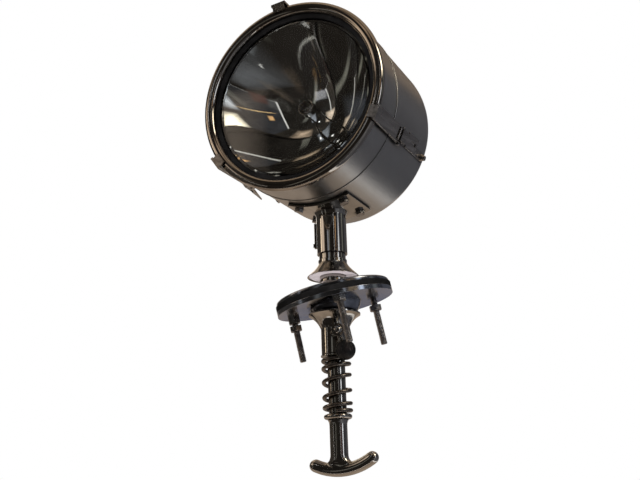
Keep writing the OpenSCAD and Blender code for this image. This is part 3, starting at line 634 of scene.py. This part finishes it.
# Stage: a white room, dark cards that the polished metal mirrors, and soft lamps
ROOM_WHITE = (1, 1, 1, 1)
ROOM_LIGHT = 0.45
FLOOR_Z = -0.62
FLOOR_SIZE = 7
FLOOR_WHITE = 0.75
FLOOR_COLOR = (0.86, 0.85, 0.83, 1)
FLOOR_ROUGHNESS = 0.8


def camera_white(tree):
    """1 for the rays that show the background: camera, glossy and transmission rays."""
    path = tree.nodes.new("ShaderNodeLightPath")
    first = tree.nodes.new("ShaderNodeMath")
    first.operation = "MAXIMUM"
    second = tree.nodes.new("ShaderNodeMath")
    second.operation = "MAXIMUM"
    tree.links.new(path.outputs["Is Camera Ray"], first.inputs[0])
    tree.links.new(path.outputs["Is Glossy Ray"], first.inputs[1])
    tree.links.new(first.outputs[0], second.inputs[0])
    tree.links.new(path.outputs["Is Transmission Ray"], second.inputs[1])
    return second.outputs[0]


def make_world():
    """White where it is seen, and dimmer as a light."""
    world = bpy.data.worlds.new("room")
    bpy.context.scene.world = world
    world.use_nodes = True
    tree = world.node_tree
    shader = tree.nodes["Background"]
    shader.inputs["Color"].default_value = ROOM_WHITE
    tree.links.new(mapped(tree, camera_white(tree), 0, 1, ROOM_LIGHT, 1), shader.inputs["Strength"])


def sheet(name, corners):
    """A flat sheet of the stage, with the given four corners."""
    mesh = bpy.data.meshes.new(name)
    mesh.from_pydata(corners, [], [(0, 1, 2, 3)])
    across = mesh.uv_layers.new(name="across")
    for loop, place in zip(across.data, ((0, 0), (1, 0), (1, 1), (0, 1))):
        loop.uv = place
    mesh.update()
    obj = bpy.data.objects.new(name, mesh)
    bpy.context.scene.collection.objects.link(obj)
    return obj


def plane(name, centre, normal, width, height):
    """A flat rectangle that faces along its normal."""
    turn = Vector(normal).to_track_quat("Z", "Y").to_matrix().to_4x4()
    turn.translation = centre
    x = width / 2
    y = height / 2
    corners = ((-x, -y, 0), (x, -y, 0), (x, y, 0), (-x, y, 0))
    return sheet(name, [turn @ Vector(corner) for corner in corners])


def make_floor():
    """A pale floor that is mostly white where it is seen, and keeps the shadow."""
    material, tree, shader = new_material("floor")
    shader.inputs["Base Color"].default_value = FLOOR_COLOR
    shader.inputs["Roughness"].default_value = FLOOR_ROUGHNESS
    white = tree.nodes.new("ShaderNodeEmission")
    mix = tree.nodes.new("ShaderNodeMixShader")
    output = tree.nodes["Material Output"]
    tree.links.new(mapped(tree, camera_white(tree), 0, 1, 0, FLOOR_WHITE), mix.inputs["Fac"])
    tree.links.new(shader.outputs[0], mix.inputs[1])
    tree.links.new(white.outputs[0], mix.inputs[2])
    tree.links.new(mix.outputs[0], output.inputs["Surface"])
    floor = plane("floor", (0, 0, FLOOR_Z), (0, 0, 1), FLOOR_SIZE, FLOOR_SIZE)
    floor.data.materials.append(material)


# Walls that the polished metal mirrors: name, centre, the way it faces, width, height, colour
CARDS = [
    ("card_front", (0, -2.8, 0.9), (0, 1, 0), 5.44, 3.8, (0.019, 0.017, 0.015)),
    ("card_left", (-2.8, 0, 0.9), (1, 0, 0), 5.44, 3.8, (0.050, 0.044, 0.038)),
    ("card_right", (2.8, 0, 0.9), (-1, 0, 0), 5.44, 3.8, (0.040, 0.041, 0.047)),
    ("card_back_left", (-1.4, 2.8, 0.3), (0, -1, 0), 2.8, 2.2, (0.390, 0.310, 0.245)),
    ("card_back_right", (1.5, 2.8, 0.3), (0, -1, 0), 3.0, 2.2, (0.092, 0.093, 0.104)),
    ("card_back_top", (0.0, 2.8, 2.1), (0, -1, 0), 5.4, 1.4, (0.230, 0.180, 0.140)),
    ("card_top", (0, 1.05, 2.82), (0, 0, -1), 5.7, 3.6, (0.420, 0.330, 0.245)),
    ("card_top_front", (0, -1.83, 2.82), (0, 0, -1), 5.7, 2.16, (0.030, 0.026, 0.022)),
    ("card_low_front", (0, -1.61, -0.60), (0, 0, 1), 5.4, 2.54, (0.022, 0.019, 0.017)),
    ("card_low_left", (-1.3, 1.23, -0.60), (0, 0, 1), 2.8, 3.1, (0.360, 0.290, 0.230)),
    ("card_low_right", (1.5, 1.23, -0.60), (0, 0, 1), 2.6, 3.1, (0.093, 0.095, 0.108)),
]
# Patches of light on the ceiling and the ground, with soft borders, given like the walls
PATCHES = [
    ("patch_top", (0.85, -1.75, 2.78), (0, 0, -1), 1.7, 1.6, (0.75, 0.57, 0.42)),
    ("patch_low", (1.2, -0.60, -0.59), (0, 0, 1), 2.2, 1.3, (0.20, 0.208, 0.230)),
]
PATCH_BORDER = 0.45
# Lights in those walls, mirrored only: name, bearing from the front towards the right, height above
# the level, both in degrees and seen from the lamp's neck, then width, height in metres and colour
LIGHTS = [
    ("window_left", -66, 27, 0.32, 1.50, (2.50, 2.05, 1.55)),
    ("window_high", -48, 33, 1.50, 1.20, (0.95, 0.78, 0.63)),
    ("slit_front", -2, 24, 0.50, 1.00, (0.34, 0.37, 0.43)),
    ("lamp_near_right", 57, 15, 0.20, 0.34, (1.00, 0.60, 0.28)),
    ("wall_right", 112, 7, 0.50, 1.00, (0.26, 0.27, 0.25)),
    ("window_back", -146, 24, 1.10, 1.10, (1.30, 1.20, 1.08)),
    ("wall_low_left", -112, -10, 1.30, 0.66, (0.55, 0.45, 0.36)),
    ("wall_blue", -159, -11, 0.60, 0.40, (0.17, 0.19, 0.27)),
    ("window_cool", 79, -6, 0.44, 1.40, (1.60, 1.72, 1.90)),
    ("window_warm", 88, 30, 1.00, 1.50, (6.00, 5.40, 4.30)),
    ("streak_gold", 63, 7, 1.10, 0.02, (2.20, 1.50, 0.70)),
    ("spot_one", 21, -26, 0.06, 0.06, (2.60, 2.62, 2.75)),
    ("spot_two", 14, -20, 0.03, 0.06, (2.30, 2.30, 2.30)),
    ("drape_left", -58, -17, 0.12, 0.90, (0.16, 0.155, 0.135)),
    ("spot_high", -14, 35, 0.16, 0.16, (3.60, 3.65, 3.80)),
    ("spot_low", 2, 27, 0.05, 0.20, (3.00, 3.00, 3.00)),
    ("wall_red", 58, -10, 0.50, 0.50, (0.085, 0.040, 0.036)),
]
LIGHT_DISTANCE = 2.3
LIGHT_EYE_Z = 0.15
LIGHT_BORDER = 0.2
# A pale hanging in front of the lamp: bearing and height of its two ends, distance, width and colour
DRAPE_ENDS = ((-38, -28), (22, 30))
DRAPE_DISTANCE = 1.2
DRAPE_WIDTH = 0.18
DRAPE_BORDER = 0.4
DRAPE_COLOR = (0.34, 0.34, 0.31)
# Glow: the size of its clouds, and how far it falls and rises round its colour
GLOW_CLOUDS = 1.3
GLOW_LOW = 0.72
GLOW_HIGH = 1.28


def fading(tree, border):
    """One inside a sheet, and falling to zero over the given share of its width and height."""
    place = tree.nodes.new("ShaderNodeUVMap")
    parts = tree.nodes.new("ShaderNodeSeparateXYZ")
    nearest = tree.nodes.new("ShaderNodeMath")
    nearest.operation = "MINIMUM"
    tree.links.new(place.outputs[0], parts.inputs[0])
    for k in range(2):
        inward = tree.nodes.new("ShaderNodeMath")
        inward.operation = "PINGPONG"
        inward.inputs[1].default_value = 0.5
        tree.links.new(parts.outputs[k], inward.inputs[0])
        tree.links.new(inward.outputs[0], nearest.inputs[k])
    return mapped(tree, nearest.outputs[0], 0, border, 0, 1)


def glow(name, color, border=0):
    """A softly uneven glow, as of a wall in a dim room, with a border that fades if one is given."""
    material, tree, shader = new_material(name)
    glow_node = tree.nodes.new("ShaderNodeEmission")
    cloud = noise(tree, GLOW_CLOUDS, 3)
    shade = tuple(GLOW_LOW * c for c in color)
    light = tuple(GLOW_HIGH * c for c in color)
    tree.links.new(ramp(tree, cloud, 0.35, 0.65, shade, light), glow_node.inputs["Color"])
    surface = glow_node.outputs[0]
    if border:
        mix = tree.nodes.new("ShaderNodeMixShader")
        clear = tree.nodes.new("ShaderNodeBsdfTransparent")
        tree.links.new(fading(tree, border), mix.inputs["Fac"])
        tree.links.new(clear.outputs[0], mix.inputs[1])
        tree.links.new(surface, mix.inputs[2])
        surface = mix.outputs[0]
    tree.links.new(surface, tree.nodes["Material Output"].inputs["Surface"])
    tree.nodes.remove(shader)
    return material


def hang(card, color, border=0):
    """Makes a card glow for mirrors and glass alone: it is out of the picture and of the light."""
    card.data.materials.append(glow(card.name, color, border))
    card.visible_camera = False
    card.visible_shadow = False
    card.visible_diffuse = False


def toward(bearing, rise, distance):
    """The place that is seen from the lamp's neck at a bearing and a height in degrees."""
    turn = math.radians(bearing)
    away = Vector((math.sin(turn), -math.cos(turn), 0)) * distance
    away.z = LIGHT_EYE_Z + distance * math.tan(math.radians(rise))
    return away


def make_drape():
    low = toward(*DRAPE_ENDS[0], DRAPE_DISTANCE)
    high = toward(*DRAPE_ENDS[1], DRAPE_DISTANCE)
    side = Vector((DRAPE_WIDTH / 2, 0, 0))
    drape = sheet("drape_front", [low - side, low + side, high + side, high - side])
    hang(drape, DRAPE_COLOR, DRAPE_BORDER)


def make_cards():
    for cards, border in ((CARDS, 0), (PATCHES, PATCH_BORDER)):
        for name, centre, facing, width, height, color in cards:
            hang(plane(name, centre, facing, width, height), color, border)
    for name, bearing, rise, width, height, color in LIGHTS:
        away = toward(bearing, rise, LIGHT_DISTANCE)
        hang(plane(name, away, (-away.x, -away.y, 0), width, height), color, LIGHT_BORDER)


# Soft lamps, which all face one point: name, place, size, power, colour
LIT_TARGET = Vector((0, 0, 0.2))
LAMPS = [
    ("key", (-1.1, -1.2, 1.5), 0.8, 22, (1.0, 0.97, 0.92)),
    ("fill", (1.5, -1.0, 0.3), 0.7, 10, (0.95, 0.97, 1.0)),
    ("low", (0.45, -1.1, -0.16), 0.3, 60, (1.0, 0.95, 0.96)),
    ("rim", (0.9, 1.4, 1.1), 0.6, 14, (1.0, 1.0, 1.0)),
]


def make_lamps():
    for name, place, size, power, color in LAMPS:
        data = bpy.data.lights.new(name, "AREA")
        data.shape = "SQUARE"
        data.size = size
        data.energy = power
        data.color = color
        lamp = bpy.data.objects.new(name, data)
        bpy.context.scene.collection.objects.link(lamp)
        turn = (LIT_TARGET - Vector(place)).to_track_quat("-Z", "Y").to_matrix().to_4x4()
        turn.translation = place
        lamp.matrix_world = turn
        lamp.visible_glossy = False
        lamp.visible_transmission = False


bpy.context.scene.view_settings.view_transform = "Standard"
make_camera()
dress_nodes()
make_spring()
make_mirror()
make_lens()
make_cup()
make_seal()
make_studs()
make_handle()
make_world()
make_floor()
make_cards()
make_drape()
make_lamps()
